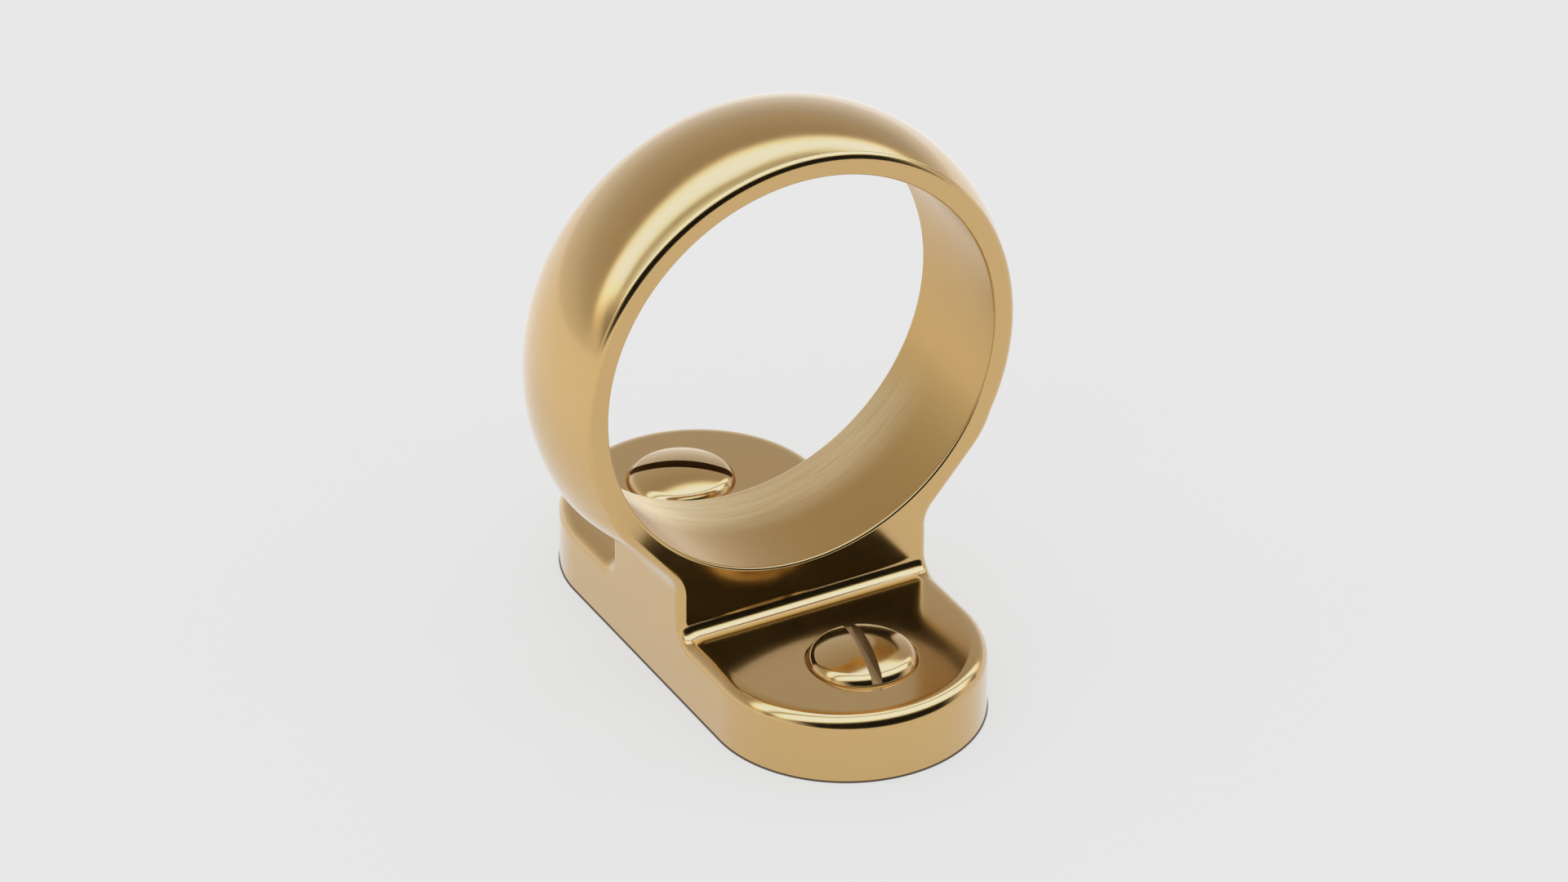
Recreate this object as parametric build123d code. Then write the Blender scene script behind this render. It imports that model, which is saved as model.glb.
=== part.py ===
from build123d import *
import os
from math import asin, atan2, cos, degrees, hypot, radians, sin, sqrt, tan

# A fixed ring pull handle in polished brass, screwed down with two slotted raised countersunk screws.
# The frame: Z is up, out of the surface that the handle is fixed to. Y runs along the base from
# screw to screw, and is also the direction of the ring's bore. The origin is the middle of the
# base's underside.

# Base, a plate with straight sides and round ends
base_width = 20.0
base_length = 42.4
base_height = 5.2
pad_edge_radius = 1.35
base_edge_break = 0.15

# Ring, whose outside is domed from face to face. The web is what stands between the pad and the bore.
bore_diameter = 30.5
ring_wall = 2.85
ring_thickness = 10.5
web_height = 3.45
crown_radius = 10.7
bore_edge_radius = 0.25

# Neck, which carries the ring and stands flush with the base's straight sides. Its sides rise by the
# shoulder's height above the pad. From there a straight flank on each side runs out to the ring,
# and meets it at a turn about the bore that is measured from straight down.
shoulder_rise = 4.1
ring_end_turn = 58.0
shoulder_blend_radius = 2.4
outline_edge_radius = 0.75
foot_radius = 1.4

# Screws, number 8 wood screws with a raised countersunk head. The thread stands proud of the shank,
# and the solid has its outer form.
screw_end_distance = 7.6
screw_length = 19.0
shank_diameter = 3.4
thread_diameter = 4.2
thread_length = 14.0
screw_point_length = 5.0
screw_tip_radius = 0.15
countersink_angle = 90.0
head_diameter = 7.6
head_edge_radius = 1.0
head_dome_radius = 6.0
head_sink = 0.2
slot_width = 0.92
slot_floor_width = 0.72
slot_floor_height = 0.1
front_slot_turn = 77.6
rear_slot_turn = -30.7

# Seats of the screws in the base
seat_clearance = 0.02
thread_clearance = 0.2
seat_edge_break = 0.1

# What follows from the driving sizes
half_width = base_width / 2
half_thickness = ring_thickness / 2
bore_radius = bore_diameter / 2
ring_radius = bore_radius + ring_wall
head_radius = head_diameter / 2
shank_radius = shank_diameter / 2
thread_radius = thread_diameter / 2
screw_y = base_length / 2 - screw_end_distance
ring_centre_height = base_height + web_height + bore_radius
cone_slope = tan(radians(countersink_angle / 2))
crown_axis = ring_radius - crown_radius
face_radius = crown_axis + sqrt(crown_radius**2 - half_thickness**2)
neck_root = base_height / 2
shoulder_height = base_height + shoulder_rise
shoulder_drop = ring_centre_height - shoulder_height
shoulder_turn = degrees(atan2(half_width, shoulder_drop))
shoulder_reach = hypot(half_width, shoulder_drop)
foot_top = base_height + foot_radius
foot_reach = half_thickness + foot_radius
foot_depth = foot_radius + pad_edge_radius + outline_edge_radius
head_rim_height = base_height - head_sink
screws = {"front_screw": (-screw_y, front_slot_turn), "rear_screw": (screw_y, rear_slot_turn)}


def make_screw_seat():
    """What is cut out of the base for one screw: a countersink and a hole that its thread passes."""
    mouth = head_radius + head_sink * cone_slope + seat_clearance
    hole = thread_radius + thread_clearance
    cone_depth = (mouth - hole) / cone_slope
    seat = Pos(0, 0, base_height) * Cone(
        hole, mouth, cone_depth, align=(Align.CENTER, Align.CENTER, Align.MAX)
    )
    return seat + Cylinder(hole, base_height, align=(Align.CENTER, Align.CENTER, Align.MIN))


def make_base():
    """The plate: a convex round on its top edge, a small break on its lower edge, and two screw seats."""
    base = extrude(SlotOverall(base_length, base_width, rotation=90), amount=base_height)
    base = fillet(base.faces().sort_by(Axis.Z)[-1].edges(), pad_edge_radius)
    base = fillet(base.faces().sort_by(Axis.Z)[0].edges(), base_edge_break)
    for y, _ in screws.values():
        base -= Pos(0, y, 0) * make_screw_seat()
    mouths = [
        edge
        for edge in base.edges().filter_by(GeomType.CIRCLE)
        if abs(edge.center().Z - base_height) < 0.001 and abs(abs(edge.center().Y) - screw_y) < 0.01
    ]
    return fillet(mouths, seat_edge_break)


def limb_section(turn, outer_edge):
    """A section of the ring's limb, in a plane through the bore's axis, inside an outer edge.

    The turn is measured about the bore's axis, from straight down towards +X.
    """
    inner = bore_radius - half_thickness
    across = Plane(
        origin=(0, 0, ring_centre_height),
        x_dir=(0, 1, 0),
        z_dir=(-cos(radians(turn)), 0, -sin(radians(turn))),
    )
    with BuildSketch(across) as section:
        with BuildLine():
            outer = outer_edge()
            Polyline(outer @ 1, (half_thickness, inner), (-half_thickness, inner), outer @ 0)
        make_face()
    return section.sketch


def crowned_edge():
    """The ring's outer edge, an arc from face to face."""
    return ThreePointArc((-half_thickness, face_radius), (0, ring_radius), (half_thickness, face_radius))


def level_edge():
    """The neck's outer edge at the shoulder, a straight line from face to face."""
    return Line((-half_thickness, shoulder_reach), (half_thickness, shoulder_reach))


def make_neck_and_ring_blank():
    """Neck and ring before they are rounded and bored.

    The domed ring stops above the neck on each side. From there a flank comes in to the neck's
    shoulder in straight lines, and its crown runs out to nothing on the way.
    """
    ring_end = limb_section(ring_end_turn, crowned_edge)
    neck_end = limb_section(shoulder_turn, level_edge)
    centre = Axis((0, 0, ring_centre_height), (0, -1, 0))
    ring = revolve(ring_end, axis=centre, revolution_arc=360 - 2 * ring_end_turn)
    flank = loft([ring_end, neck_end], ruled=True)
    outline = Polyline(
        (-half_width, neck_root),
        (half_width, neck_root),
        (half_width, shoulder_height),
        (0, ring_centre_height),
        (-half_width, shoulder_height),
        close=True,
    )
    neck = extrude(Plane.XZ * make_face(outline), amount=half_thickness, both=True)
    return neck + ring + flank + Rot(0, 0, 180) * flank


def make_neck_and_ring():
    """The neck and the ring, blended into each other and bored.

    A blend fills each shoulder, one round follows their whole outline, and a small one breaks the
    two edges of the bore.
    """
    blank = make_neck_and_ring_blank()
    shoulders = [
        edge
        for edge in blank.edges()
        if abs(abs(edge.center().X) - half_width) < 0.01 and abs(edge.center().Z - shoulder_height) < 0.01
    ]
    blank = fillet(shoulders, shoulder_blend_radius)
    centre = Vector(0, 0, ring_centre_height)
    faces = [face for face in blank.faces() if abs(abs(face.center().Y) - half_thickness) < 0.01]
    outline = [
        edge
        for face in faces
        for edge in face.edges()
        if edge.center().Z > neck_root + 0.01 and (edge @ 0.5 - centre).length > bore_radius
    ]
    blank = fillet(outline, outline_edge_radius)
    blank -= Pos(0, 0, ring_centre_height) * Rot(90, 0, 0) * Cylinder(bore_radius, ring_thickness)
    rims = [
        edge
        for edge in blank.edges().filter_by(GeomType.CIRCLE)
        if abs(edge.radius - bore_radius) < 0.001 and abs(abs(edge.center().Y) - half_thickness) < 0.01
    ]
    return fillet(rims, bore_edge_radius)


def foot_section(turn):
    """The foot's section in a plane through the axis of its hollow.

    A turn of 0 degrees is where the hollow runs out in the neck's face, and 90 is where it runs out
    in the pad. The round at the two ends grows from the outline's radius to the pad's on the way.
    """
    end_radius = outline_edge_radius + (pad_edge_radius - outline_edge_radius) * turn / 90
    near = foot_radius
    corner = near + end_radius
    far = near + foot_depth
    bulge = end_radius * (1 - sin(radians(45)))
    across = Plane(
        origin=(0, -foot_reach, foot_top),
        x_dir=(1, 0, 0),
        z_dir=(0, sin(radians(turn)), cos(radians(turn))),
    )
    with BuildSketch(across) as section:
        with BuildLine():
            Line((-half_width, far), (half_width, far))
            Line((half_width, far), (half_width, corner))
            ThreePointArc(
                (half_width, corner),
                (half_width - bulge, near + bulge),
                (half_width - end_radius, near),
            )
            Line((half_width - end_radius, near), (end_radius - half_width, near))
            ThreePointArc(
                (end_radius - half_width, near),
                (bulge - half_width, near + bulge),
                (-half_width, corner),
            )
            Line((-half_width, corner), (-half_width, far))
        make_face()
    return section.sketch


def make_foot():
    """The hollow at the neck's foot on the front pad, with its ends rounded down to the sides."""
    return loft([foot_section(turn) for turn in (0, 15, 30, 45, 60, 75, 90)])


def make_body():
    """The whole casting: the base, a foot on the front pad and one on the rear, then neck and ring."""
    foot = make_foot()
    return make_base() + foot + Rot(0, 0, 180) * foot + make_neck_and_ring()


def make_screw(slot_turn):
    """A slotted wood screw: a domed head with a rounded rim over a cone, a shank and a point.

    The slot's walls lean out a little towards the top of the dome.
    """
    tilt = asin((head_radius - head_edge_radius) / (head_dome_radius - head_edge_radius))
    dome_centre = head_rim_height - (head_dome_radius - head_edge_radius) * cos(tilt)
    dome_top = dome_centre + head_dome_radius
    dome_end = (head_dome_radius * sin(tilt), dome_centre + head_dome_radius * cos(tilt))
    dome_middle = (head_dome_radius * sin(tilt / 2), dome_centre + head_dome_radius * cos(tilt / 2))
    edge_turn = (tilt + radians(90)) / 2
    edge_middle = (
        head_radius - head_edge_radius + head_edge_radius * sin(edge_turn),
        head_rim_height + head_edge_radius * cos(edge_turn),
    )
    rim = (head_radius, head_rim_height)
    cone_end = (shank_radius, head_rim_height - (head_radius - shank_radius) / cone_slope)
    tip_height = head_rim_height - screw_length
    thread_top = tip_height + thread_length
    shank_end = (shank_radius, thread_top + thread_radius - shank_radius)
    thread_start = (thread_radius, thread_top)
    taper_start = (thread_radius, tip_height + screw_point_length)
    tip = (screw_tip_radius, tip_height)
    with BuildPart() as screw:
        with BuildSketch(Plane.XZ):
            with BuildLine():
                ThreePointArc((0, dome_top), dome_middle, dome_end)
                ThreePointArc(dome_end, edge_middle, rim)
                Polyline(rim, cone_end, shank_end, thread_start, taper_start, tip)
                Polyline(tip, (0, tip_height), (0, dome_top))
            make_face()
        revolve(axis=Axis.Z)
    slot_floor = base_height + slot_floor_height
    slot_outline = Polyline(
        (-slot_floor_width / 2, slot_floor),
        (slot_floor_width / 2, slot_floor),
        (slot_width / 2, dome_top),
        (-slot_width / 2, dome_top),
        close=True,
    )
    slot = extrude(Plane.YZ * make_face(slot_outline), amount=head_diameter, both=True)
    return Rot(0, 0, slot_turn) * (screw.part - slot)


solids = {"ring_pull_body": make_body()}
for name, (y, slot_turn) in screws.items():
    solids[name] = Pos(0, y, 0) * make_screw(slot_turn)

os.makedirs("parts", exist_ok=True)
for name, shape in solids.items():
    export_step(shape, f"parts/{name}.step")
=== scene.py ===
# %% [markdown]
# # A ring pull in lacquered brass
# The real object is a small handle: one brass casting, polished and lacquered, and two slotted wood
# screws. The frame gives the places and the sizes. Both kinds of piece are modelled again here, because
# a polished dome needs a closer mesh than the frame's, and the screws need their threads.

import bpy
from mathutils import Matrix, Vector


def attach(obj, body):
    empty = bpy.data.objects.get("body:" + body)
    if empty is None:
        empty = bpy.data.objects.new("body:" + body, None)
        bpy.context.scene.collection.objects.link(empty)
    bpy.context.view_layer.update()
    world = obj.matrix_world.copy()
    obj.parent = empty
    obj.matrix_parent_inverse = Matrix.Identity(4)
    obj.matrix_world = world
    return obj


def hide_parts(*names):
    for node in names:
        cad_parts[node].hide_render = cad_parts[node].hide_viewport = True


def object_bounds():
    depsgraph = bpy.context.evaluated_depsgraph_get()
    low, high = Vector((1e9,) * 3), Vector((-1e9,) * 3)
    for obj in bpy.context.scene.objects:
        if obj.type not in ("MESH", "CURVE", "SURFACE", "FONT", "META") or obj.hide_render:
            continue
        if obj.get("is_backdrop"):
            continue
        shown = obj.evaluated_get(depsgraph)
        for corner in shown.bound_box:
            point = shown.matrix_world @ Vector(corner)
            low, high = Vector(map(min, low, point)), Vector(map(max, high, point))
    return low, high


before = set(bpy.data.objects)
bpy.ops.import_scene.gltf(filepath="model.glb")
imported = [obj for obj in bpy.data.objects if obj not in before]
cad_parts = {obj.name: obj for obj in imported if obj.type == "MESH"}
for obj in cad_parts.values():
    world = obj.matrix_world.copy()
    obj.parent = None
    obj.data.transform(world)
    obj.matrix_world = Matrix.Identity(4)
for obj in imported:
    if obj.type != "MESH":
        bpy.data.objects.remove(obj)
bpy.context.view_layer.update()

# %% [markdown]
# ## Tools for the lesson
# All lengths are written in millimetres and turned into metres by one factor. Nothing may stay
# selected from the import, because an edit mode operator acts on all that is selected.

# %% Units and a clean selection
from math import asin, atan2, cos, degrees, pi, radians, sin, sqrt, tan

import bmesh
import bpy
from mathutils import Matrix, Vector

MM = 0.001
bpy.ops.object.select_all(action="DESELECT")
print("nodes", sorted(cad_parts))

# %% [markdown]
# ## Sizes of the handle
# These are the frame's own sizes in millimetres. Z is up from the surface, Y runs from screw to
# screw, and the ring's bore also runs along Y.

# %% Sizes of the handle
HALF_WIDTH, HALF_THICKNESS, PAD_HEIGHT, PLATE_END_CENTRE = 10.0, 5.25, 5.2, 11.2
RING_Z, BORE_RADIUS, RING_RADIUS, CROWN_RADIUS = 23.9, 15.25, 18.1, 10.7
RIM_ROUND_BORE, OUTLINE_ROUND, LOWER_BREAK = 0.25, 0.75, 0.15
SHOULDER_Z, SHOULDER_BLEND, RING_END = 9.3, 2.4, 58.0
SCREW_Y, SEAT_MOUTH, SEAT_HOLE, SEAT_BREAK = 13.6, 4.02, 2.3, 0.1
print("ring top", RING_Z + RING_RADIUS, "pad", PAD_HEIGHT)

# %% [markdown]
# ## Camera
# The photograph is taken with a long lens from the front left, about thirty degrees above the
# surface. A long lens keeps the plate's sides nearly parallel, so its distance matters less than
# its direction. The camera's axes are worked out from the two angles and put straight into its
# matrix, which is plainer than a tracking constraint.

# %% Camera
AZIMUTH, ELEVATION, ROLL = radians(-28.3955), radians(31.2478), radians(-0.1193)
SHIFT_RIGHT, SHIFT_UP, DISTANCE = -1.0172 * MM, -13.4156 * MM, 509.1703 * MM
FOCAL_PIXELS, PICTURE_PIXELS, SENSOR_WIDTH = 8690.9, 1920, 36
LENS = FOCAL_PIXELS / PICTURE_PIXELS * SENSOR_WIDTH

back = Vector((sin(AZIMUTH) * cos(ELEVATION), -cos(AZIMUTH) * cos(ELEVATION), sin(ELEVATION)))
level = Vector((cos(AZIMUTH), sin(AZIMUTH), 0))
upright = back.cross(level)
right = level * cos(ROLL) + upright * sin(ROLL)
up = upright * cos(ROLL) - level * sin(ROLL)
stand = back * DISTANCE - right * SHIFT_RIGHT - up * SHIFT_UP

camera = bpy.data.objects.new("camera", bpy.data.cameras.new("camera"))
bpy.context.scene.collection.objects.link(camera)
camera.data.lens = LENS
camera.data.clip_start, camera.data.clip_end = 0.01, 20
camera.matrix_world = Matrix((right, up, back)).transposed().to_4x4()
camera.location = stand
bpy.context.scene.camera = camera
print("camera at", [round(c / MM, 1) for c in stand], "lens", round(LENS, 1))

# %% [markdown]
# ## Node helpers
# Materials and the studio are node trees. They could be built by hand in the node editor, but a script
# gives the same tree each time. Short helpers keep it readable: one adds a node with its settings and
# inputs, one calculates, one makes a soft step from 0 to 1 between two values, and two blend.

# %% Node helpers
def add_node(tree, kind, settings=None, **inputs):
    node = tree.nodes.new(kind)
    for key, value in (settings or {}).items():
        setattr(node, key, value)
    for key, value in inputs.items():
        by_number = key[0] == "i" and key[1:].isdigit()
        socket = node.inputs[int(key[1:]) if by_number else key]
        if isinstance(value, bpy.types.NodeSocket):
            tree.links.new(value, socket)
        else:
            socket.default_value = value
    return node


def calc(tree, operation, first, second=0.0, third=0.0):
    settings = {"operation": operation}
    return add_node(tree, "ShaderNodeMath", settings, i0=first, i1=second, i2=third).outputs[0]


def soft_step(tree, value, start, end):
    settings = {"interpolation_type": "SMOOTHSTEP", "clamp": True}
    return add_node(tree, "ShaderNodeMapRange", settings, i0=value, i1=start, i2=end).outputs[0]


def blend_value(tree, share, first, second):
    settings = {"data_type": "FLOAT"}
    return add_node(tree, "ShaderNodeMix", settings, i0=share, i2=first, i3=second).outputs[0]


def blend_colour(tree, share, first, second):
    settings = {"data_type": "RGBA"}
    return add_node(tree, "ShaderNodeMix", settings, i0=share, i6=first, i7=second).outputs[2]


print("helpers ready")

# %% [markdown]
# ## Floor
# The handle stands on a plain pale surface. It could be lit by lamps alone, but in the photograph the
# shadow on it is as faint as in a light tent. So the sheet's pale grey is partly lit by the studio
# and partly even.

# %% Floor
FLOOR_GREY, FLOOR_EVEN_SHARE = 0.807, 0.78
PALE_GREY = (FLOOR_GREY, FLOOR_GREY, FLOOR_GREY, 1)

bpy.ops.mesh.primitive_plane_add(size=8, location=(0, 0, 0))
floor = bpy.context.object
floor.name = "floor"
floor_paint = bpy.data.materials.new("pale floor")
floor_paint.use_nodes = True
tree = floor_paint.node_tree
tree.nodes.clear()
print("floor", floor.dimensions[:2])

# %% [markdown]
# ### Where the plate touches the floor
# No light gets under the plate's edge, so a thin dark line of painted shade is put along it in the
# floor's colour. The distance from the plate's outline gives it: the plate is all that lies within its
# half width of a short middle line.
# The floor to the left and behind is a little brighter, which only the metal's reflections show.

# %% Floor's shading
# painted shade: a thin dark brown line in the floor's colour along the plate's outline
CONTACT_WIDTH, CONTACT_DEPTH, CONTACT_SHADE_COLOUR = 0.13, 0.95, (0.07, 0.045, 0.025, 1)
FAR_GLOW, FAR_START, FAR_END = 0.2, 12 * MM, 75 * MM

place = add_node(tree, "ShaderNodeTexCoord").outputs["Object"]
axes = add_node(tree, "ShaderNodeSeparateXYZ", i0=place)
past_end = calc(tree, "SUBTRACT", calc(tree, "ABSOLUTE", axes.outputs[1]), PLATE_END_CENTRE * MM)
past_end = calc(tree, "MAXIMUM", past_end, 0.0)
across = calc(tree, "MULTIPLY", axes.outputs[0], axes.outputs[0])
reach = calc(tree, "SQRT", calc(tree, "MULTIPLY_ADD", past_end, past_end, across))
# painted shade: the floor's grey turns dark brown where it meets the plate
contact_shade = soft_step(tree, reach, (HALF_WIDTH + CONTACT_WIDTH) * MM, HALF_WIDTH * MM)
grey = blend_colour(tree, calc(tree, "MULTIPLY", contact_shade, CONTACT_DEPTH), PALE_GREY, CONTACT_SHADE_COLOUR)
outward = calc(tree, "MAXIMUM", calc(tree, "MULTIPLY", axes.outputs[0], -1.0), axes.outputs[1])
ray = add_node(tree, "ShaderNodeLightPath")
far = calc(tree, "MULTIPLY", soft_step(tree, outward, FAR_START, FAR_END), FAR_GLOW)
glow = calc(tree, "MULTIPLY_ADD", ray.outputs["Is Glossy Ray"], far, 1.0)
matt = add_node(tree, "ShaderNodeBsdfDiffuse", Color=grey).outputs[0]
even = add_node(tree, "ShaderNodeEmission", Color=grey, Strength=glow).outputs[0]
both = add_node(tree, "ShaderNodeMixShader", i0=FLOOR_EVEN_SHARE, i1=matt, i2=even)
add_node(tree, "ShaderNodeOutputMaterial", Surface=both.outputs[0])
floor.data.materials.append(floor_paint)
floor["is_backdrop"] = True
floor.select_set(False)
print("floor nodes", len(tree.nodes))

# %% [markdown]
# ## Studio light
# Polished metal shows its surroundings, so the studio is what gives the handle its look. It is a
# large cool soft box overhead with a thin seam, a dark open front, and a grey wall behind that grows
# paler down to the floor. A world shader describes it by direction. PHI is the angle about the
# ring's cross direction, from the front horizon over the top to the back horizon, and SIDE is the
# angle out to the left or right. Matt surfaces see a plain even sky of strength 1, so colours keep
# their own value.

# %% Directions in the studio
world = bpy.data.worlds.new("studio")
bpy.context.scene.world = world
world.use_nodes = True
world.cycles.sampling_method = "NONE"
tree = world.node_tree
tree.nodes.clear()
direction = add_node(tree, "ShaderNodeTexCoord").outputs["Generated"]
axes = add_node(tree, "ShaderNodeSeparateXYZ", i0=direction)
to_degrees = 180 / pi
front = calc(tree, "MULTIPLY", axes.outputs[1], -1.0)
phi = calc(tree, "MULTIPLY", calc(tree, "ARCTAN2", axes.outputs[2], front), to_degrees)
side = calc(tree, "MULTIPLY", calc(tree, "ARCSINE", axes.outputs[0]), to_degrees)
sideways = calc(tree, "ABSOLUTE", side)
print("studio directions ready")

# %% Strength and edges of each part of the studio
SOFT_BOX, SEAM, DARK_END, DARK_FRONT, PALE_SIDE = 2.5, 0.3, 0.27, 0.012, 0.78
WALL_TOP, WALL_MIDDLE, WALL_FOOT = 0.36, 0.49, 0.78

# Edges over PHI in degrees, from where a part begins to where it is full
BOX_EDGE, WALL_EDGE, WALL_FADE, FOOT_FADE = (45, 66), (107, 117.5), (112, 152), (143, 184)
END_RISE, END_FALL = (62, 74), (116, 104)

# Edges over SIDE in degrees
FRONT_SIDE, BOX_SIDE, END_SIDE, WALL_SIDE = (47, 75), (56, 78), (60, 78), (70, 84)

# The seam's middle and half width in degrees, each with its growth over SIDE
SEAM_PHI, SEAM_LEAN, SEAM_HALF, SEAM_GROWTH = 92.3, 0.13, 6.0, 0.06

# How far the wall's upper edge bends back, with the square of SIDE and with its fourth power
EDGE_BEND, EDGE_BEND_GROWTH = 0.00034, 8.9e-7
print("wall edge at", WALL_EDGE, "seam at", SEAM_PHI)

# %% Join the parts of the studio
front_part = blend_value(tree, soft_step(tree, sideways, *FRONT_SIDE), DARK_FRONT, PALE_SIDE)
seam_middle = calc(tree, "MULTIPLY_ADD", calc(tree, "MAXIMUM", side, 0.0), SEAM_LEAN, SEAM_PHI)
seam_half = calc(tree, "MULTIPLY_ADD", sideways, SEAM_GROWTH, SEAM_HALF)
from_seam = calc(tree, "ABSOLUTE", calc(tree, "SUBTRACT", phi, seam_middle))
seam_share = calc(tree, "DIVIDE", from_seam, seam_half)
box_part = blend_value(tree, soft_step(tree, seam_share, 1.0, 0.05), SOFT_BOX, SEAM)
box_part = blend_value(tree, soft_step(tree, sideways, *BOX_SIDE), box_part, PALE_SIDE)
end_share = calc(tree, "MULTIPLY", soft_step(tree, phi, *END_RISE), soft_step(tree, phi, *END_FALL))
end_share = calc(tree, "MULTIPLY", end_share, soft_step(tree, sideways, *END_SIDE))
box_part = blend_value(tree, end_share, box_part, DARK_END)
wall_part = blend_value(tree, soft_step(tree, phi, *WALL_FADE), WALL_TOP, WALL_MIDDLE)
wall_part = blend_value(tree, soft_step(tree, phi, *FOOT_FADE), wall_part, WALL_FOOT)
wall_part = blend_value(tree, soft_step(tree, sideways, *WALL_SIDE), wall_part, PALE_SIDE)
side_squared = calc(tree, "POWER", side, 2.0)
edge_drift = calc(tree, "MULTIPLY_ADD", side_squared, EDGE_BEND_GROWTH, EDGE_BEND)
edge_drift = calc(tree, "MULTIPLY", side_squared, edge_drift)
wall_share = soft_step(tree, calc(tree, "SUBTRACT", phi, edge_drift), *WALL_EDGE)
strength = blend_value(tree, soft_step(tree, phi, *BOX_EDGE), front_part, box_part)
strength = blend_value(tree, wall_share, strength, wall_part)
strength = blend_value(tree, soft_step(tree, axes.outputs[2], 0.004, -0.004), strength, FLOOR_GREY)
print("studio strength joined")

# %% Colour of the light
RED_LIMIT, GREEN_LIMIT, LIMIT_BEND = 1.18, 1.58, 0.45
WARM_PHI, WARM_FADE, MORE_RED, LESS_BLUE = 130.0, (26, 4), 0.09, -0.1

red = calc(tree, "SMOOTH_MIN", strength, RED_LIMIT, LIMIT_BEND)
green = calc(tree, "SMOOTH_MIN", strength, GREEN_LIMIT, LIMIT_BEND)
from_warm = calc(tree, "ABSOLUTE", calc(tree, "SUBTRACT", phi, WARM_PHI))
warm = soft_step(tree, from_warm, *WARM_FADE)
red = calc(tree, "MULTIPLY", red, calc(tree, "MULTIPLY_ADD", warm, MORE_RED, 1.0))
blue = calc(tree, "MULTIPLY", strength, calc(tree, "MULTIPLY_ADD", warm, LESS_BLUE, 1.0))
colour = add_node(tree, "ShaderNodeCombineColor", i0=red, i1=green, i2=blue).outputs[0]
print("light colour ready")

# %% Studio light for each kind of ray
studio, sky, plain = [
    add_node(tree, "ShaderNodeBackground", i0=shade, i1=1.0).outputs[0]
    for shade in (colour, (1, 1, 1, 1), PALE_GREY)
]
ray = add_node(tree, "ShaderNodeLightPath")
is_matt, is_camera = ray.outputs["Is Diffuse Ray"], ray.outputs["Is Camera Ray"]
lit = add_node(tree, "ShaderNodeMixShader", i0=is_matt, i1=studio, i2=sky).outputs[0]
seen = add_node(tree, "ShaderNodeMixShader", i0=is_camera, i1=lit, i2=plain).outputs[0]
add_node(tree, "ShaderNodeOutputWorld", Surface=seen)
bpy.context.scene.view_settings.view_transform = "Standard"
print("studio nodes", len(tree.nodes))

# %% [markdown]
# ## Lacquered brass
# The metal is polished but not a perfect mirror, and a clear lacquer lies over it. At a flat angle the
# lacquer's own reflection takes over, which is why the ring's outline turns pale. Two shaders could
# be layered for this, but a metallic Principled shader with a coat does both. Brass from a polishing
# wheel is never quite even, so a soft noise varies its colour and gloss a little. A screw's slot is
# sawn and stays dull, and painted shade darkens it, its walls more so than its floor; a face
# attribute says how much of both.

# %% Lacquered brass
BRASS_DARK, BRASS_LIGHT = (0.66, 0.415, 0.138, 1), (0.69, 0.445, 0.152, 1)
# a dark brown for the painted shade in the screw's slot
SLOT_SHADE_BRASS = (0.3, 0.17, 0.06, 1)
GLOSS_LOW, GLOSS_HIGH, SAWN_BLUR, SAWN_DEPTH = 0.13, 0.17, 0.22, 0.00002
COAT_IOR, COAT_ROUGHNESS = 1.7, 0.1


def lacquered_brass(name):
    brass = bpy.data.materials.new(name)
    brass.use_nodes = True
    tree = brass.node_tree
    tree.nodes.clear()
    place = add_node(tree, "ShaderNodeTexCoord").outputs["Object"]
    clouds = add_node(tree, "ShaderNodeTexNoise", Vector=place, Scale=220.0, Detail=4.0, Roughness=0.55)
    tone = blend_colour(tree, clouds.outputs[0], BRASS_DARK, BRASS_LIGHT)
    spread = add_node(tree, "ShaderNodeMapRange", i0=clouds.outputs[0], i1=0.3, i2=0.7)
    spread.inputs[3].default_value = GLOSS_LOW
    spread.inputs[4].default_value = GLOSS_HIGH
    shader = add_node(tree, "ShaderNodeBsdfPrincipled", Metallic=1.0)
    shader.inputs["Coat Weight"].default_value = 1.0
    shader.inputs["Coat IOR"].default_value = COAT_IOR
    shader.inputs["Coat Roughness"].default_value = COAT_ROUGHNESS
    add_node(tree, "ShaderNodeOutputMaterial", Surface=shader.outputs[0])
    return brass, tree, place, tone, spread.outputs[0], shader


screw_brass, tree, place, tone, gloss, shader = lacquered_brass("lacquered turned brass")
sawn = add_node(tree, "ShaderNodeAttribute", {"attribute_name": "sawn"}).outputs["Fac"]
marks = add_node(tree, "ShaderNodeTexNoise", Vector=place, Scale=3200.0, Detail=3.0, Roughness=0.6)
relief = add_node(tree, "ShaderNodeBump", Strength=sawn, Distance=SAWN_DEPTH, Height=marks.outputs[0])
# painted shade: the base colour darkens in the slot, fully on its walls and a quarter on its floor
tone_and_slot_shade = blend_colour(tree, calc(tree, "POWER", sawn, 2.0), tone, SLOT_SHADE_BRASS)
tree.links.new(tone_and_slot_shade, shader.inputs["Base Color"])
tree.links.new(relief.outputs[0], shader.inputs["Normal"])
tree.links.new(calc(tree, "MULTIPLY_ADD", sawn, SAWN_BLUR, gloss), shader.inputs["Roughness"])
print("screw brass ready")

# %% [markdown]
# ## The bore's finish
# The bore is cut on a lathe after casting, and its wall keeps fine rings that the polishing wheel
# only softens. They blur a reflection along the bore, and leave faint streaks round it. Low in the
# rear half a pale gold is painted into the wall's colour as a painted reflection, and little lacquer
# has run into the bore. The bore could have a material of its own, but the distance from its axis
# tells the shader where this finish is, so one material does for all of the casting: its noise is
# stretched round the bore and squeezed along it.

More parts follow.
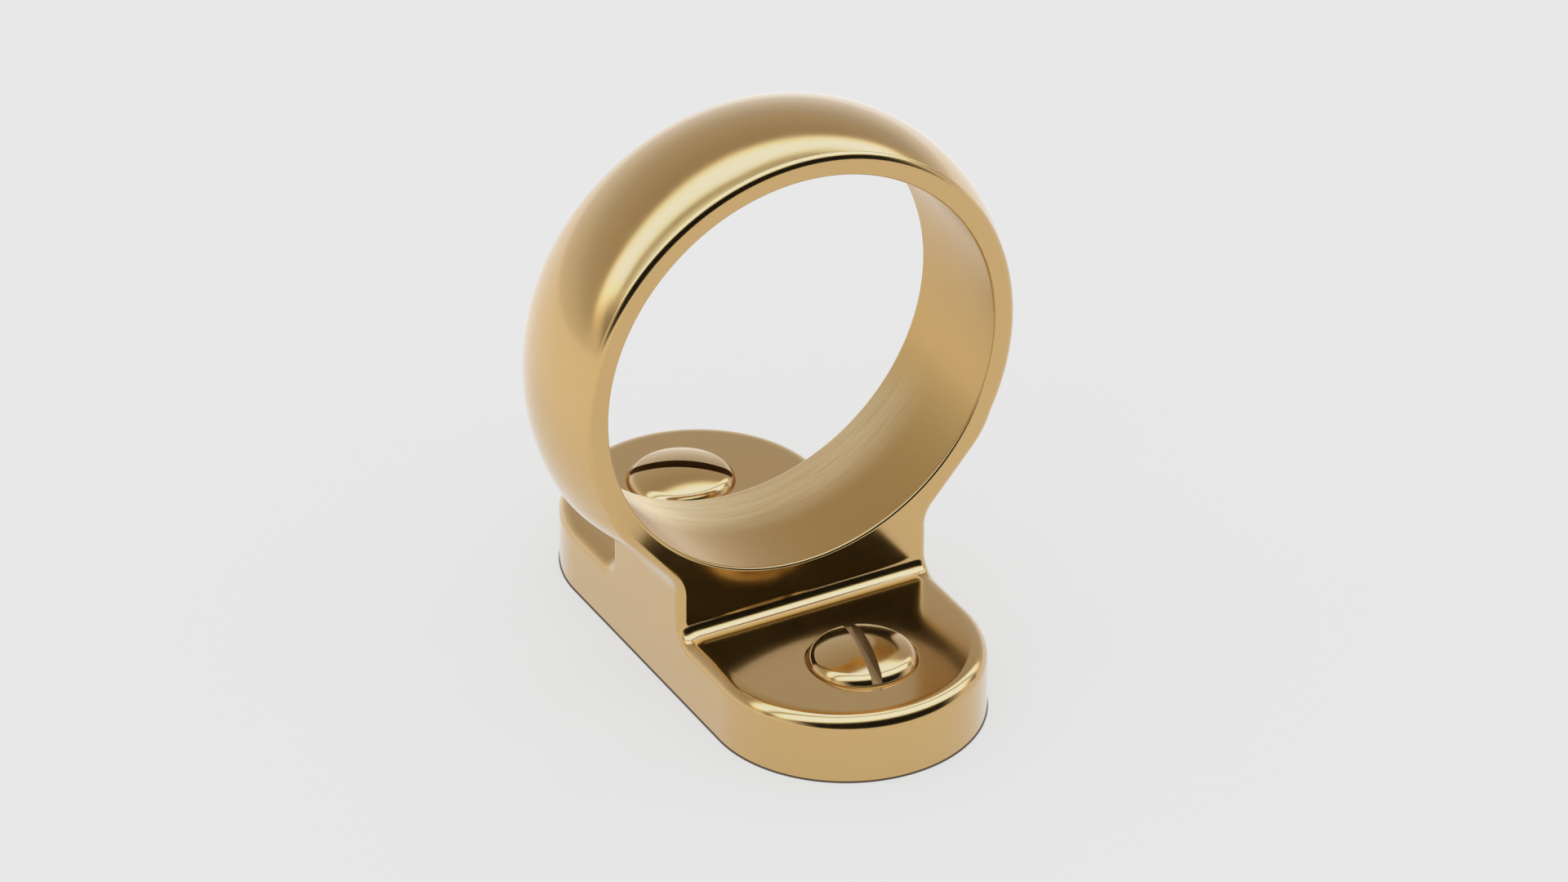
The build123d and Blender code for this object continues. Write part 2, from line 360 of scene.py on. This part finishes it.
# %% Brass of the casting
# the second colour is a painted reflection: a gold paler than the brass, for a band low in the bore
BORE_BRASS, PAINTED_SHEEN_BRASS = (0.62, 0.39, 0.135, 1), (1.0, 0.78, 0.44, 1)
STRETCH, GROOVE_DEPTH, BORE_BLUR, BORE_LESS_COAT = 0.06, 0.0000035, 0.12, -0.8
FINE_GROOVES, COARSE_STREAKS, STREAK_HEIGHT = (2600.0, 3.0, 0.6), (420.0, 2.0, 0.5), 4.0
BORED_START, BORED_END = (BORE_RADIUS + 0.12) * MM, (BORE_RADIUS + 0.02) * MM

body_brass, tree, place, tone, gloss, shader = lacquered_brass("lacquered cast brass")
axes = add_node(tree, "ShaderNodeSeparateXYZ", i0=place)
lift = calc(tree, "SUBTRACT", axes.outputs[2], RING_Z * MM)
across = calc(tree, "MULTIPLY", axes.outputs[0], axes.outputs[0])
distance = calc(tree, "SQRT", calc(tree, "MULTIPLY_ADD", lift, lift, across))
bored = soft_step(tree, distance, BORED_START, BORED_END)
round_x, round_z = [calc(tree, "MULTIPLY", axis, STRETCH) for axis in (axes.outputs[0], lift)]
rings = add_node(tree, "ShaderNodeCombineXYZ", i0=round_x, i1=axes.outputs[1], i2=round_z).outputs[0]
fine, coarse = [
    add_node(tree, "ShaderNodeTexNoise", Vector=rings, Scale=scale, Detail=detail, Roughness=rough)
    for scale, detail, rough in (FINE_GROOVES, COARSE_STREAKS)
]
grooves, streaks = fine.outputs[0], coarse.outputs[0]
height = calc(tree, "MULTIPLY_ADD", streaks, STREAK_HEIGHT, grooves)
bump = add_node(tree, "ShaderNodeBump", Strength=bored, Distance=GROOVE_DEPTH, Height=height)
relief = bump.outputs[0]
print("bore's grooves ready")

# %% Painted reflection low in the bore
BAND_TOP, BAND_FULL, BAND_FRONT, BAND_REAR = -6 * MM, -14 * MM, -0.8 * MM, 3.2 * MM
STREAK_CONTRAST, STREAK_BASE = 1.4, 0.25

# painted reflection: the wall's colour turns pale gold low in the rear half, streaked by the grooves
low = soft_step(tree, lift, BAND_TOP, BAND_FULL)
inner = soft_step(tree, axes.outputs[1], BAND_FRONT, BAND_REAR)
streaked = calc(tree, "MULTIPLY_ADD", grooves, STREAK_CONTRAST, STREAK_BASE)
painted_sheen = calc(tree, "MULTIPLY", calc(tree, "MULTIPLY", low, inner), streaked)
wall = blend_colour(tree, painted_sheen, BORE_BRASS, PAINTED_SHEEN_BRASS)
tree.links.new(blend_colour(tree, bored, tone, wall), shader.inputs["Base Color"])
tree.links.new(relief, shader.inputs["Normal"])
tree.links.new(relief, shader.inputs["Coat Normal"])
tree.links.new(calc(tree, "MULTIPLY_ADD", bored, BORE_BLUR, gloss), shader.inputs["Roughness"])
tree.links.new(calc(tree, "MULTIPLY_ADD", bored, BORE_LESS_COAT, 1.0), shader.inputs["Coat Weight"])
print("casting brass ready")

# %% [markdown]
# ## The casting
# Plate, neck and ring are one smooth casting, and a polished surface shows every uneven facet. It could
# be cut together with booleans, but those leave long thin triangles on the rounds. So it is laid out
# as a patchwork of grids, each a plane grid whose points are moved onto the surface. The casting is
# the same on both sides and at both ends, so one quarter is enough: x above 0 and y below 0.

# %% Steps of the patches
ROUND_STEPS, CROWN_STEPS, FOOT_STEPS, FLAT_STEPS = 12, 12, 18, 31
RING_STEPS, BEND_STEPS, FLANK_STEPS, BLEND_STEPS, NECK_STEPS = 110, 10, 10, 16, 3
END_STEPS, SIDE_STEPS, BREAK_STEPS, RIM_STEPS, BORE_STEPS = 60, 5, 4, 6, 4
JOIN_DISTANCE, SLIVER = 0.000002, 0.0000005
print("outline steps", RING_STEPS + BEND_STEPS + FLANK_STEPS + BLEND_STEPS + NECK_STEPS)

# %% [markdown]
# ## Rounds that polishing has softened
# Where the flat pad meets the foot's hollow or the plate's edge, the polishing wheel has drawn the
# start of the round out. So these two profiles have a wide radius next to the pad and a tighter one
# beyond it. Each point is the way in along the pad and the height away from it, at a given tilt.

# %% Soft round
def soft_round(wide, tight, change, tilt):
    first = min(tilt, change)
    along = wide * sin(first) + tight * (sin(tilt) - sin(first))
    away = wide * (1 - cos(first)) + tight * (cos(first) - cos(tilt))
    return along, away


FOOT_ROUND = (2.1, 1.1, radians(17))
PAD_ROUND = (1.8, 1.06, radians(16))
foot_length, foot_rise = soft_round(*FOOT_ROUND, pi / 2)
pad_inset, pad_drop = soft_round(*PAD_ROUND, pi / 2)
FOOT_Y, FOOT_Z = -HALF_THICKNESS - foot_length, PAD_HEIGHT + foot_rise
print("foot", [round(v, 3) for v in (foot_length, foot_rise)])
print("pad edge", [round(v, 3) for v in (pad_inset, pad_drop)])


# %% Lay a grid on a surface
def lay_grid(name, columns, rows, place):
    bpy.ops.mesh.primitive_grid_add(x_subdivisions=columns, y_subdivisions=rows, size=2)
    piece = bpy.context.object
    piece.name = name
    for vertex in piece.data.vertices:
        along, across = round((vertex.co.x + 1) * columns / 2), round((vertex.co.y + 1) * rows / 2)
        vertex.co = Vector(place(along, across)) * MM
    piece.select_set(False)
    patches.append(piece)


patches = []
print("grids start empty")

# %% [markdown]
# ## The ring's outline
# Seen from the front, the middle of the outer surface is one line: round the ring, through a soft
# bend, in along the straight flank, round the shoulder's blend and down the neck. Each station on
# it keeps its place, the direction that is outward there, and how much of the ring's dome is left.

# %% Stations from the ring's top down to the neck's foot
RING_BLEND = 9.0
end = radians(RING_END)
ring_end = Vector((RING_RADIUS * sin(end), RING_Z - RING_RADIUS * cos(end)))
corner = Vector((HALF_WIDTH, SHOULDER_Z))
flank = (ring_end - corner).normalized()
flank_out = Vector((flank.y, -flank.x))
centre = Vector((0, RING_Z))
gap = (ring_end - centre).dot(flank_out)
slide = (ring_end - centre).dot(flank) - sqrt((RING_RADIUS - RING_BLEND) ** 2 - (gap - RING_BLEND) ** 2)
bend_centre = ring_end - flank_out * RING_BLEND - flank * slide
bend_out = (bend_centre - centre).normalized()
bend_turn = atan2(bend_out.x, -bend_out.y)
flank_turn = atan2(flank_out.x, -flank_out.y)
blend_reach = SHOULDER_BLEND * tan((pi / 2 - flank_turn) / 2)
blend_centre = Vector((HALF_WIDTH + SHOULDER_BLEND, SHOULDER_Z - blend_reach))

outline = []
for k in range(RING_STEPS):
    turn = pi + (bend_turn - pi) * k / RING_STEPS
    out = Vector((sin(turn), -cos(turn)))
    outline.append((centre + out * RING_RADIUS, out))
for k in range(BEND_STEPS):
    turn = bend_turn + (flank_turn - bend_turn) * k / BEND_STEPS
    out = Vector((sin(turn), -cos(turn)))
    outline.append((bend_centre + out * RING_BLEND, out))
flank_top = bend_centre + flank_out * RING_BLEND
flank_foot = corner + flank * blend_reach
for k in range(FLANK_STEPS):
    outline.append((flank_top + (flank_foot - flank_top) * k / FLANK_STEPS, flank_out))
for k in range(BLEND_STEPS):
    turn = flank_turn + (pi / 2 - flank_turn) * k / BLEND_STEPS
    out = Vector((sin(turn), -cos(turn)))
    outline.append((blend_centre - out * SHOULDER_BLEND, out))
for k in range(NECK_STEPS + 1):
    height = blend_centre.y + (FOOT_Z - blend_centre.y) * k / NECK_STEPS
    outline.append((Vector((HALF_WIDTH, height)), Vector((1, 0))))
print("outline stations", len(outline), "flank at", round(degrees(flank_turn), 1), "degrees")

# %% [markdown]
# ## The limb's skin
# Across the ring the skin is a low dome, then a small round that turns it into the flat face. Down
# the flank the dome flattens out to nothing, so its radius grows from station to station. The round
# is the path of a ball that rolls between dome and face.

# %% Limb
FLATTEST = 1e-5
start, finish = RING_STEPS, RING_STEPS + BEND_STEPS + FLANK_STEPS + BLEND_STEPS
walked = [0.0]
for (first, _), (second, _) in zip(outline, outline[1:]):
    walked.append(walked[-1] + (second - first).length)


def limb_point(station, row):
    point, out = outline[station]
    share = min(1.0, max(0.0, (walked[station] - walked[start]) / (walked[finish] - walked[start])))
    dome = CROWN_RADIUS / max(1 - share, FLATTEST)
    lean = asin((HALF_THICKNESS - OUTLINE_ROUND) / (dome - OUTLINE_ROUND))
    if row <= CROWN_STEPS:
        turn = lean * row / CROWN_STEPS
        rise, y = -dome * (1 - cos(turn)), -dome * sin(turn)
    else:
        turn = lean + (pi / 2 - lean) * (row - CROWN_STEPS) / ROUND_STEPS
        rise = -dome + (dome - OUTLINE_ROUND) * cos(lean) + OUTLINE_ROUND * cos(turn)
        y = -(dome - OUTLINE_ROUND) * sin(lean) - OUTLINE_ROUND * sin(turn)
    spot = point + out * rise
    return spot.x, y, spot.y


LIMB_ROWS = CROWN_STEPS + ROUND_STEPS
last = len(outline) - 1
lay_grid("limb", last, LIMB_ROWS, limb_point)
print("limb ends at", [round(c, 2) for c in limb_point(last, LIMB_ROWS)])

# %% [markdown]
# ## Foot, plate and seats
# At the neck's foot a hollow runs out in the pad. Its end round grows from the neck's small one to
# the plate's larger one, so the same strip of round goes on along the plate's edge.

# %% Foot
def end_round(share, step):
    """A point of the round at the foot's end: how far in from the side, and how deep down."""
    roll = pi / 2 * step / ROUND_STEPS
    along, away = soft_round(*PAD_ROUND, roll)
    inset = OUTLINE_ROUND * (1 - sin(roll)) * (1 - share) + (pad_inset - along) * share
    return inset, OUTLINE_ROUND * (1 - cos(roll)) * (1 - share) + away * share


def foot_point(turn_step, row):
    share = turn_step / FOOT_STEPS
    tilt = pi / 2 * (1 - share)
    along, away = soft_round(*FOOT_ROUND, tilt)
    inset, depth = end_round(share, max(0, row - FLAT_STEPS))
    x = (HALF_WIDTH - inset) * min(1, row / FLAT_STEPS)
    return x, FOOT_Y + along + depth * sin(tilt), PAD_HEIGHT + away - depth * cos(tilt)


lay_grid("foot", FOOT_STEPS, FLAT_STEPS + ROUND_STEPS, foot_point)
print("foot runs out at", [round(c, 2) for c in foot_point(FOOT_STEPS, 0)])

# %% Plate's edge
end_centre = Vector((0, -PLATE_END_CENTRE))
plan = []
for k in range(SIDE_STEPS):
    y = FOOT_Y + (end_centre.y - FOOT_Y) * k / SIDE_STEPS
    plan.append((Vector((HALF_WIDTH, y)), Vector((1, 0))))
for k in range(END_STEPS + 1):
    turn = pi / 2 * k / END_STEPS
    out = Vector((cos(turn), -sin(turn)))
    plan.append((end_centre + out * HALF_WIDTH, out))
edge_profile = []
for k in range(ROUND_STEPS + 1):
    inset, depth = end_round(1, k)
    edge_profile.append((-inset, PAD_HEIGHT - depth))
break_profile = []
for k in range(BREAK_STEPS + 1):
    roll = pi / 2 * k / BREAK_STEPS
    break_profile.append((-LOWER_BREAK * (1 - cos(roll)), LOWER_BREAK * (1 - sin(roll))))
edge_profile += break_profile


def edge_point(station, row):
    point, out = plan[station]
    reach, height = edge_profile[row]
    spot = point + out * reach
    return spot.x, spot.y, height


lay_grid("edge", len(plan) - 1, len(edge_profile) - 1, edge_point)
print("plate's end at", [round(c, 2) for c in edge_point(len(plan) - 1, ROUND_STEPS)])

# %% Flat side between neck and plate
side_line = [limb_point(last, row) for row in range(CROWN_STEPS + 1)]
side_line += [foot_point(k, FLAT_STEPS + ROUND_STEPS) for k in range(1, FOOT_STEPS + 1)]


def side_point(station, row):
    if row == 0:
        return side_line[station]
    reach, height = break_profile[row - 1]
    return HALF_WIDTH + reach, FOOT_Y * station / (len(side_line) - 1), height


lay_grid("side", len(side_line) - 1, len(break_profile), side_point)
print("side stations", len(side_line))

# %% Bore and its rim
NECK_TURN = radians(32)
bore_turns = []
for station, (point, out) in enumerate(outline):
    if station <= RING_STEPS:
        bore_turns.append(atan2(out.x, -out.y))
    else:
        share = (station - RING_STEPS) / (last - RING_STEPS)
        bore_turns.append(bend_turn + (NECK_TURN - bend_turn) * share)
bore_turns += [NECK_TURN * (1 - k / FLAT_STEPS) for k in range(1, FLAT_STEPS + 1)]
bore_profile = []
for k in range(RIM_STEPS + 1):
    roll = pi / 2 * k / RIM_STEPS
    radius, y = RIM_ROUND_BORE * (1 - sin(roll)), RIM_ROUND_BORE * (1 - cos(roll))
    bore_profile.append((BORE_RADIUS + radius, y - HALF_THICKNESS))
rim_depth = HALF_THICKNESS - RIM_ROUND_BORE
bore_profile += [(BORE_RADIUS, rim_depth * (k / BORE_STEPS - 1)) for k in range(1, BORE_STEPS + 1)]


def bore_point(station, row):
    radius, y = bore_profile[row]
    turn = bore_turns[station]
    return radius * sin(turn), y, RING_Z - radius * cos(turn)


lay_grid("bore", len(bore_turns) - 1, len(bore_profile) - 1, bore_point)
print("bore turns", len(bore_turns))

# %% Flat face of ring and neck
face_line = [limb_point(station, LIMB_ROWS) for station in range(len(outline))]
face_line += [foot_point(0, FLAT_STEPS - k) for k in range(1, FLAT_STEPS + 1)]


def face_point(station, row):
    return bore_point(station, 0) if row else face_line[station]


lay_grid("face", len(face_line) - 1, 1, face_point)
print("face line", len(face_line), "points")

# %% Screw seat and pad
SEAT_SIDES, SEAT_SLOPE = FLAT_STEPS + len(plan) - 1, radians(45)
break_start = SEAT_MOUTH + SEAT_BREAK * tan(SEAT_SLOPE / 2)
seat_profile = []
for k in range(BREAK_STEPS + 1):
    roll = SEAT_SLOPE * k / BREAK_STEPS
    radius, depth = break_start - SEAT_BREAK * sin(roll), SEAT_BREAK * (1 - cos(roll))
    seat_profile.append((radius, PAD_HEIGHT - depth))
seat_profile += [(SEAT_HOLE, PAD_HEIGHT - SEAT_MOUTH + SEAT_HOLE), (SEAT_HOLE, 0.0)]
pad_line = [foot_point(FOOT_STEPS, k) for k in range(FLAT_STEPS + 1)]
pad_line += [edge_point(k, 0) for k in range(1, len(plan))]


def seat_turn(station):
    """The direction of a pad point, seen from the seat's middle and measured from the neck."""
    x, y, _ = pad_line[station]
    return atan2(x, y + SCREW_Y)


def seat_point(station, row):
    radius, height = seat_profile[row]
    turn = seat_turn(station)
    return radius * sin(turn), radius * cos(turn) - SCREW_Y, height


def pad_point(station, row):
    return pad_line[station] if row else seat_point(station, 0)


lay_grid("seat", SEAT_SIDES, len(seat_profile) - 1, seat_point)
lay_grid("pad", SEAT_SIDES, 1, pad_point)
print("seat sides", SEAT_SIDES, "pad points", len(pad_line))

# %% Underside
under_line = [(0, 0, 0)] + [side_point(k, len(break_profile)) for k in range(len(side_line))]
under_line += [edge_point(k, len(edge_profile) - 1) for k in range(1, len(plan))]


def under_point(station, row):
    return under_line[station] if row else seat_point(station, len(seat_profile) - 1)


lay_grid("underside", SEAT_SIDES, 1, under_point)
print("underside points", len(under_line), "for", SEAT_SIDES + 1)

# %% [markdown]
# ## One casting from the patches
# The patches are joined and their shared edges merged. Two mirror modifiers make the other three
# quarters. Smooth shading alone would bend the flat faces near their edges. Weighted normals let each
# flat face keep its own direction, so the small rounds take up all of the turn. The modifier takes a
# face measured in metres for one without area, so the mesh is in millimetres while it works.

# %% Join, mirror and smooth
SMOOTH_ANGLE, FACE_WEIGHT, SAME_AREA = radians(30), 50, 0.0001
for patch in patches:
    patch.select_set(True)
casting = patches[0]
bpy.context.view_layer.objects.active = casting
bpy.ops.object.join()
casting.name = "polished_casting"
bpy.ops.object.mode_set(mode="EDIT")
bpy.ops.mesh.select_all(action="SELECT")
bpy.ops.mesh.remove_doubles(threshold=JOIN_DISTANCE)
bpy.ops.object.mode_set(mode="OBJECT")
mirror = casting.modifiers.new("mirror", "MIRROR")
mirror.use_axis = (True, True, False)
mirror.use_clip = True
mirror.merge_threshold = JOIN_DISTANCE
bpy.ops.object.modifier_apply(modifier="mirror")
bpy.ops.object.mode_set(mode="EDIT")
bpy.ops.mesh.select_all(action="SELECT")
bpy.ops.mesh.dissolve_degenerate(threshold=SLIVER)
bpy.ops.mesh.select_all(action="SELECT")
bpy.ops.mesh.normals_make_consistent(inside=False)
bpy.ops.mesh.select_all(action="DESELECT")
bpy.ops.mesh.select_non_manifold()
bpy.ops.object.mode_set(mode="OBJECT")
open_edges = sum(edge.select for edge in casting.data.edges)
print("open edges", open_edges, "faces", len(casting.data.polygons))
bpy.ops.object.shade_smooth_by_angle(angle=SMOOTH_ANGLE)
casting.data.transform(Matrix.Scale(1 / MM, 4))
weights = casting.modifiers.new("weights", "WEIGHTED_NORMAL")
weights.keep_sharp = True
weights.weight = FACE_WEIGHT
weights.thresh = SAME_AREA
bpy.ops.object.modifier_apply(modifier="weights")
casting.data.transform(Matrix.Scale(MM, 4))
casting.select_set(False)
casting.data.materials.append(body_brass)
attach(casting, "root")
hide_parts("ring_pull_body")
print("casting box", [round(d / MM, 2) for d in casting.dimensions])

# %% [markdown]
# ## A wood screw
# The head is a low dome with a rounded rim over a countersunk cone. A screw could be built from
# cylinders and cones, but turned parts are a profile spun about an axis. So the profile is drawn
# first, point by point with extrude, and then spun round.

# %% Profile of the screw
RIM_HEIGHT, HEAD_RADIUS, RIM_ROUND, DOME_RADIUS = 5.05, 3.86, 0.95, 9.2
SHANK_RADIUS, THREAD_RADIUS, CORE_RADIUS, THREAD_ROOT = 1.7, 2.1, 1.4, 1.25
SHANK_END, CORE_TOP, TAPER_TOP, TIP_HEIGHT, TIP_RADIUS = 0.2, -0.4, -9.0, -14.0, 0.15
DOME_STEPS, RIM_TURN_STEPS, SPIN_STEPS = 16, 14, 96

tilt = asin((HEAD_RADIUS - RIM_ROUND) / (DOME_RADIUS - RIM_ROUND))
dome_centre = RIM_HEIGHT - (DOME_RADIUS - RIM_ROUND) * cos(tilt)
profile = []
for k in range(DOME_STEPS + 1):
    turn = tilt * k / DOME_STEPS
    profile.append((DOME_RADIUS * sin(turn), dome_centre + DOME_RADIUS * cos(turn)))
for k in range(1, RIM_TURN_STEPS + 1):
    turn = tilt + (pi / 2 - tilt) * k / RIM_TURN_STEPS
    radius = HEAD_RADIUS - RIM_ROUND + RIM_ROUND * sin(turn)
    profile.append((radius, RIM_HEIGHT + RIM_ROUND * cos(turn)))
profile += [(SHANK_RADIUS, RIM_HEIGHT - HEAD_RADIUS + SHANK_RADIUS), (SHANK_RADIUS, SHANK_END)]
profile += [(CORE_RADIUS, CORE_TOP), (CORE_RADIUS, TAPER_TOP)]
profile += [(TIP_RADIUS, TIP_HEIGHT), (0, TIP_HEIGHT)]
print("profile points", len(profile), "dome top", round(profile[0][1], 3))

# %% Spin the profile
bpy.ops.mesh.primitive_plane_add(size=1, location=(0, 0, 0))
core = bpy.context.object
core.name = "screw_core"
bpy.ops.object.mode_set(mode="EDIT")
bpy.ops.mesh.merge(type="CENTER")
bpy.ops.transform.translate(value=(profile[0][0] * MM, 0, profile[0][1] * MM))
for first, second in zip(profile, profile[1:]):
    step = ((second[0] - first[0]) * MM, 0, (second[1] - first[1]) * MM)
    bpy.ops.mesh.extrude_region_move(TRANSFORM_OT_translate={"value": step})
bpy.ops.mesh.select_all(action="SELECT")
bpy.ops.mesh.spin(steps=SPIN_STEPS, angle=2 * pi, center=(0, 0, 0), axis=(0, 0, 1))
bpy.ops.mesh.select_all(action="SELECT")
bpy.ops.mesh.remove_doubles(threshold=JOIN_DISTANCE)
bpy.ops.mesh.normals_make_consistent(inside=False)
bpy.ops.object.mode_set(mode="OBJECT")
print("core", len(core.data.vertices), "vertices", [round(d / MM, 2) for d in core.dimensions])

# %% [markdown]
# ## The thread
# A thread is a small ridge wound round the core. A spiral of boxes would show its joints, so a
# four-sided section is swept up a helix by the Screw modifier. Towards the point the ridge comes in
# with the core's taper, and at the top it sinks into the shank, as a rolled thread runs out.

# %% Thread
PITCH, THREAD_TURNS, TURN_STEPS, THREAD_LIFT = 1.81, 8, 40, 0.6
ROOT_HALF, CREST_HALF = 0.55, 0.06
bpy.ops.mesh.primitive_plane_add(size=1, location=(0, 0, 0))
thread = bpy.context.object
thread.name = "screw_thread"
bpy.ops.object.mode_set(mode="EDIT")
mesh = bmesh.from_edit_mesh(thread.data)
bmesh.ops.delete(mesh, geom=mesh.faces[:], context="FACES_ONLY")
mesh.verts.ensure_lookup_table()
section = [(THREAD_ROOT, -ROOT_HALF), (THREAD_RADIUS, -CREST_HALF)]
section += [(THREAD_RADIUS, CREST_HALF), (THREAD_ROOT, ROOT_HALF)]
ordered = [mesh.verts[0], mesh.verts[1], mesh.verts[3], mesh.verts[2]]
for vertex, (radius, height) in zip(ordered, section):
    vertex.co = (radius * MM, 0, (height + TIP_HEIGHT + THREAD_LIFT) * MM)
bmesh.update_edit_mesh(thread.data)
bpy.ops.object.mode_set(mode="OBJECT")
winding = thread.modifiers.new("winding", "SCREW")
winding.axis = "Z"
winding.angle = 2 * pi
winding.screw_offset = PITCH * MM
winding.iterations = THREAD_TURNS
winding.steps = winding.render_steps = TURN_STEPS
winding.use_merge_vertices = False
bpy.ops.object.modifier_apply(modifier="winding")
bpy.ops.object.mode_set(mode="EDIT")
bpy.ops.mesh.select_all(action="SELECT")
bpy.ops.mesh.remove_doubles(threshold=JOIN_DISTANCE)
bpy.ops.mesh.select_non_manifold()
bpy.ops.mesh.edge_face_add()
bpy.ops.mesh.select_all(action="SELECT")
bpy.ops.mesh.normals_make_consistent(inside=False)
bpy.ops.object.mode_set(mode="OBJECT")
print("thread", len(thread.data.vertices), "vertices", [round(d / MM, 2) for d in thread.dimensions])

# %% Taper and run-out
RUN_OUT, SUNK_SHARE, POINT_SHARE, POINT_GROWTH = 1.2, 0.75, 0.08, 0.92
for vertex in thread.data.vertices:
    x, y, z = vertex.co / MM
    radius = sqrt(x * x + y * y)
    share = min(1.0, max(0.0, (z - TIP_HEIGHT) / (TAPER_TOP - TIP_HEIGHT)))
    wanted = radius * (POINT_SHARE + POINT_GROWTH * share)
    sunk = min(1.0, max(0.0, (z + RUN_OUT) / RUN_OUT))
    wanted -= sunk * max(0.0, radius - THREAD_ROOT) * SUNK_SHARE
    vertex.co = Vector((x * wanted / radius, y * wanted / radius, z)) * MM
thread.data.update()
print("thread from", round(min(v.co.z for v in thread.data.vertices) / MM, 2))

# %% [markdown]
# ## The slot
# A saw cuts the slot straight across the finished head. It could be modelled in the profile, but a
# boolean is what the saw does. The cutter is a little wider at the top, as the saw's kerf is.

# %% Join thread and slot with booleans
SLOT_TOP, SLOT_FLOOR, SLOT_REACH = 7.3, 5.4, 6.0
SLOT_TOP_WIDTH, SLOT_FLOOR_WIDTH = 1.12, 0.7


def cut(target, other, operation):
    bpy.ops.object.select_all(action="DESELECT")
    bpy.context.view_layer.objects.active = target
    target.select_set(True)
    modifier = target.modifiers.new(operation, "BOOLEAN")
    modifier.operation = operation
    modifier.solver = "EXACT"
    modifier.object = other
    bpy.ops.object.modifier_apply(modifier=operation)
    bpy.data.objects.remove(other)


cut(core, thread, "UNION")
bpy.ops.mesh.primitive_cube_add(size=1, location=(0, 0, 0))
slot_cutter = bpy.context.object
for vertex in slot_cutter.data.vertices:
    upper = vertex.co.z > 0
    width, height = (SLOT_TOP_WIDTH, SLOT_TOP) if upper else (SLOT_FLOOR_WIDTH, SLOT_FLOOR)
    vertex.co = Vector((vertex.co.x * 2 * SLOT_REACH, vertex.co.y * width, height)) * MM
cut(core, slot_cutter, "DIFFERENCE")
print("slot cut,", len(core.data.polygons), "faces")

# %% Smooth the screw and mark its sawn faces
# the wall and floor values also set how much painted shade darkens the slot
NEAR_SLOT, FLOOR_GAP, STEEP, WALL_VALUE, FLOOR_VALUE = 0.54, 0.01, 0.9, 1.0, 0.5
SCREW_SMOOTH_ANGLE = radians(28)
bpy.ops.object.shade_smooth_by_angle(angle=SCREW_SMOOTH_ANGLE)
sawn = core.data.attributes.new("sawn", "FLOAT", "FACE")
for face in core.data.polygons:
    middle, normal = face.center / MM, face.normal
    in_slot = abs(middle.y) < NEAR_SLOT and middle.z > SLOT_FLOOR - FLOOR_GAP
    wall, bottom = in_slot and abs(normal.y) > STEEP, in_slot and middle.z < SLOT_FLOOR + FLOOR_GAP
    sawn.data[face.index].value = WALL_VALUE if wall else FLOOR_VALUE if bottom else 0.0
print("sawn faces", sum(item.value > 0 for item in sawn.data))

# %% [markdown]
# ## Two screws
# The fitter leaves each slot where it stops when the screw is tight, so the two are turned
# differently. Each is a copy of the one screw, with its turn and place in its mesh.

# %% Two screws
FRONT_TURN, REAR_TURN = 77.6, -30.7
for name, y, turn in (("front_screw", -SCREW_Y, FRONT_TURN), ("rear_screw", SCREW_Y, REAR_TURN)):
    screw = bpy.data.objects.new("threaded_" + name, core.data.copy())
    bpy.context.scene.collection.objects.link(screw)
    screw.data.transform(Matrix.Translation((0, y * MM, 0)) @ Matrix.Rotation(radians(turn), 4, "Z"))
    screw.data.materials.clear()
    screw.data.materials.append(screw_brass)
    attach(screw, "root")
    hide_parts(name)
    print(screw.name, len(screw.data.polygons), "faces")
bpy.data.objects.remove(core)

# %% Measure the visual box
low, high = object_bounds()
print("visual box", [round(c, 4) for c in low], [round(c, 4) for c in high])
